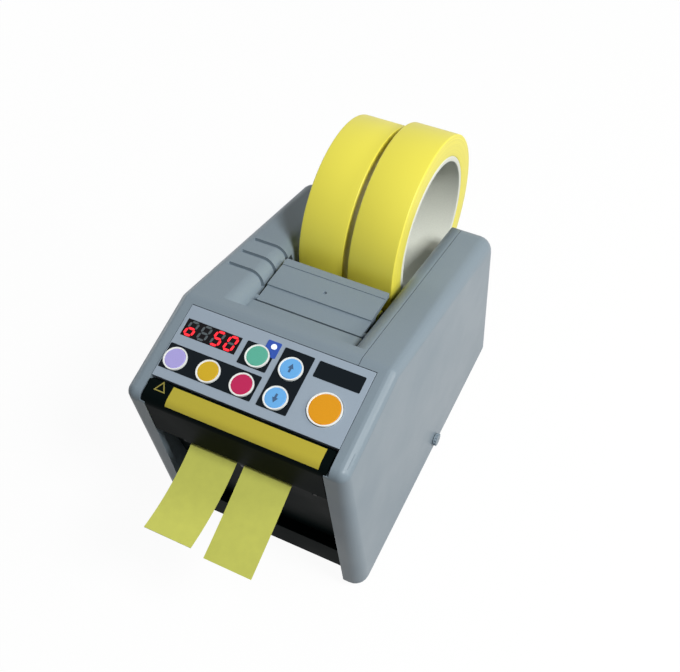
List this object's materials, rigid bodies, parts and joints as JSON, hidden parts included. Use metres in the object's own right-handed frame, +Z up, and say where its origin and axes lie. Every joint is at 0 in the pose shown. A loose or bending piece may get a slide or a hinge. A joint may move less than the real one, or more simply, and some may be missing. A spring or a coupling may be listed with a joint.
{
  "type": "electric tape dispenser",
  "caption": "Electric tape dispenser: boxy housing with a sloped key panel, tape rolls in an open rear well, powered feed rollers and a guillotine behind a hinged front cover.",
  "frame": {"origin": "on the table under the middle of the whole length, from the strips' ends to the rolls' rear", "axes": "+X to the right seen from the outlet, +Y to the back, +Z up"},
  "size_m": [0.1183, 0.2615, 0.1654],
  "materials": {
    "body_grey": "moulded, fine grain",
    "panel_grey": "printed sheet",
    "black_plastic": "moulded, satin",
    "dark_plastic": "moulded, satin",
    "black_steel": "powder coat",
    "rubber": "smooth",
    "zinc_steel": "zinc plated sheet",
    "bright_steel": "ground",
    "blade_steel": "ground edge",
    "board_green": "lacquered board",
    "smoked_window": "polished",
    "blue_lens": "polished",
    "key_orange": "printed, satin",
    "key_blue": "printed, satin",
    "key_lilac": "printed, satin",
    "key_yellow": "printed, satin",
    "key_crimson": "printed, satin",
    "key_green": "printed, satin",
    "roller_grey": "turned",
    "roller_rubber": "ground",
    "gear_white": "moulded",
    "bush_brass": "sintered",
    "motor_can": "drawn can",
    "tape_yellow": "wound film edges and backing",
    "strip_yellow": "adhesive film",
    "core_white": "moulded core"
  },
  "bodies": {
    "chassis": {"main_housing": "body_grey", "right_side_cover": "body_grey", "base_plate": "black_steel", "rubber_feet": "rubber", "lower_front_cover": "black_plastic", "rear_panel": "dark_plastic", "left_frame_plate": "zinc_steel", "right_frame_plate": "zinc_steel", "chassis_screws": "bright_steel", "control_panel": "panel_grey", "control_board": "board_green", "tact_switches": "dark_plastic", "board_screws": "bright_steel", "display_window": "smoked_window", "display_module": "dark_plastic", "status_lens": "blue_lens", "cover_switch": "dark_plastic", "feed_deck": "zinc_steel", "outlet_lip": "black_plastic", "tape_sensor": "dark_plastic", "fixed_blade": "blade_steel", "cutter_motor": "motor_can", "cutter_motor_plate": "zinc_steel", "feed_bushes": "bush_brass", "feed_motor": "motor_can", "left_tape_web": "strip_yellow", "right_tape_web": "strip_yellow", "left_strip": "strip_yellow", "right_strip": "strip_yellow", "power_switch_frame": "black_plastic", "power_jack": "black_plastic"},
    "safety_cover": {"safety_cover": "black_plastic"},
    "guide_flap": {"guide_flap": "body_grey"},
    "hold_down_roller": {"hold_down_roller": "roller_grey"},
    "cutter": {"cutter_yoke": "zinc_steel", "moving_blade": "blade_steel", "blade_screws": "bright_steel"},
    "crank": {"crank_disc": "bright_steel"},
    "feed_train": {"feed_shaft": "bright_steel", "feed_roller_sleeve": "roller_rubber", "feed_gear": "gear_white"},
    "pinion": {"motor_pinion": "bush_brass"},
    "pinch_roller": {"pinch_roller": "roller_grey"},
    "entry_roller": {"entry_roller": "roller_grey"},
    "front_support": {"front_support_roller": "roller_grey"},
    "rear_support": {"rear_support_roller": "roller_grey"},
    "left_roll": {"left_tape_roll": "tape_yellow", "left_tape_core": "core_white"},
    "right_roll": {"right_tape_roll": "tape_yellow", "right_tape_core": "core_white"},
    "rocker": {"power_rocker": "dark_plastic"},
    "thumbscrew": {"cover_thumbscrew": "body_grey"},
    "key_lilac": {"key_lilac": "key_lilac"},
    "key_yellow": {"key_yellow": "key_yellow"},
    "key_crimson": {"key_crimson": "key_crimson"},
    "key_green": {"key_green": "key_green"},
    "key_down": {"key_down": "key_blue"},
    "key_up": {"key_up": "key_blue"},
    "key_start": {"key_start": "key_orange"}
  },
  "joints": [
    {"name": "key_lilac_press", "type": "slide", "parent": "chassis", "child": "key_lilac", "axis": [0, 0.1702, -0.9854], "range_m": [0, 0.0008], "stiffness_N_per_m": 400},
    {"name": "key_yellow_press", "type": "slide", "parent": "chassis", "child": "key_yellow", "axis": [0, 0.1702, -0.9854], "range_m": [0, 0.0008], "stiffness_N_per_m": 400},
    {"name": "key_crimson_press", "type": "slide", "parent": "chassis", "child": "key_crimson", "axis": [0, 0.1702, -0.9854], "range_m": [0, 0.0008], "stiffness_N_per_m": 400},
    {"name": "key_green_press", "type": "slide", "parent": "chassis", "child": "key_green", "axis": [0, 0.1702, -0.9854], "range_m": [0, 0.0008], "stiffness_N_per_m": 400},
    {"name": "key_down_press", "type": "slide", "parent": "chassis", "child": "key_down", "axis": [0, 0.1702, -0.9854], "range_m": [0, 0.0008], "stiffness_N_per_m": 400},
    {"name": "key_up_press", "type": "slide", "parent": "chassis", "child": "key_up", "axis": [0, 0.1702, -0.9854], "range_m": [0, 0.0008], "stiffness_N_per_m": 400},
    {"name": "key_start_press", "type": "slide", "parent": "chassis", "child": "key_start", "axis": [0, 0.1702, -0.9854], "range_m": [0, 0.0008], "stiffness_N_per_m": 400},
    {"name": "safety_cover_hinge", "type": "hinge", "parent": "chassis", "child": "safety_cover", "pos_m": [0, -0.07825, 0.13292], "axis": [-1, 0, 0], "range_deg": [0, 75]},
    {"name": "guide_flap_hinge", "type": "hinge", "parent": "chassis", "child": "guide_flap", "pos_m": [0, -0.01016, 0.1266], "axis": [1, 0, 0], "range_deg": [0, 85]},
    {"name": "hold_down_spin", "type": "hinge", "parent": "guide_flap", "child": "hold_down_roller", "pos_m": [0, 0.00026, 0.11912], "axis": [-1, 0, 0], "continuous": true},
    {"name": "cutter_stroke", "type": "slide", "parent": "chassis", "child": "cutter", "axis": [0, 0.1392, -0.9903], "range_m": [0, 0.007]},
    {"name": "crank_turn", "type": "hinge", "parent": "chassis", "child": "crank", "pos_m": [0, -0.08018, 0.06636], "axis": [0, 0.9903, 0.1392], "range_deg": [0, 180]},
    {"name": "right_roll_spin", "type": "hinge", "parent": "chassis", "child": "right_roll", "pos_m": [0, 0.0778, 0.11256], "axis": [-1, 0, 0], "continuous": true},
    {"name": "left_roll_spin", "type": "hinge", "parent": "chassis", "child": "left_roll", "pos_m": [0, 0.0778, 0.11051], "axis": [-1, 0, 0], "continuous": true},
    {"name": "front_support_spin", "type": "hinge", "parent": "chassis", "child": "front_support", "pos_m": [0, 0.0658, 0.0552], "axis": [-1, 0, 0], "continuous": true},
    {"name": "rear_support_spin", "type": "hinge", "parent": "chassis", "child": "rear_support", "pos_m": [0, 0.0898, 0.0552], "axis": [-1, 0, 0], "continuous": true},
    {"name": "entry_spin", "type": "hinge", "parent": "chassis", "child": "entry_roller", "pos_m": [0, 0.0113, 0.11239], "axis": [-1, 0, 0], "continuous": true},
    {"name": "feed_spin", "type": "hinge", "parent": "chassis", "child": "feed_train", "pos_m": [0, -0.05145, 0.09903], "axis": [-1, 0, 0], "continuous": true},
    {"name": "pinch_spin", "type": "hinge", "parent": "chassis", "child": "pinch_roller", "pos_m": [0, -0.0537, 0.11507], "axis": [-1, 0, 0], "continuous": true},
    {"name": "pinion_spin", "type": "hinge", "parent": "chassis", "child": "pinion", "pos_m": [0, -0.0294, 0.08525], "axis": [-1, 0, 0], "continuous": true},
    {"name": "power_rocker_tilt", "type": "hinge", "parent": "chassis", "child": "rocker", "pos_m": [-0.018, 0.0938, 0.018], "axis": [1, 0, 0], "range_deg": [0, 16]},
    {"name": "thumbscrew_turn", "type": "hinge", "parent": "chassis", "child": "thumbscrew", "pos_m": [0.058, 0.0136, 0.0135], "axis": [1, 0, 0], "continuous": true}
  ],
  "couplings": [
    {"joint": "left_roll_spin", "follows": "right_roll_spin", "ratio": 1.0394},
    {"joint": "front_support_spin", "follows": "right_roll_spin", "ratio": -9.6},
    {"joint": "rear_support_spin", "follows": "right_roll_spin", "ratio": -9.6},
    {"joint": "entry_spin", "follows": "right_roll_spin", "ratio": -11.733},
    {"joint": "feed_spin", "follows": "right_roll_spin", "ratio": -5.8667},
    {"joint": "pinch_spin", "follows": "right_roll_spin", "ratio": 8.1231},
    {"joint": "hold_down_spin", "follows": "right_roll_spin", "ratio": 17.6},
    {"joint": "pinion_spin", "follows": "right_roll_spin", "ratio": 13.2},
    {"joint": "crank_turn", "follows": "cutter_stroke", "rad_per_m": 448.8}
  ]
}
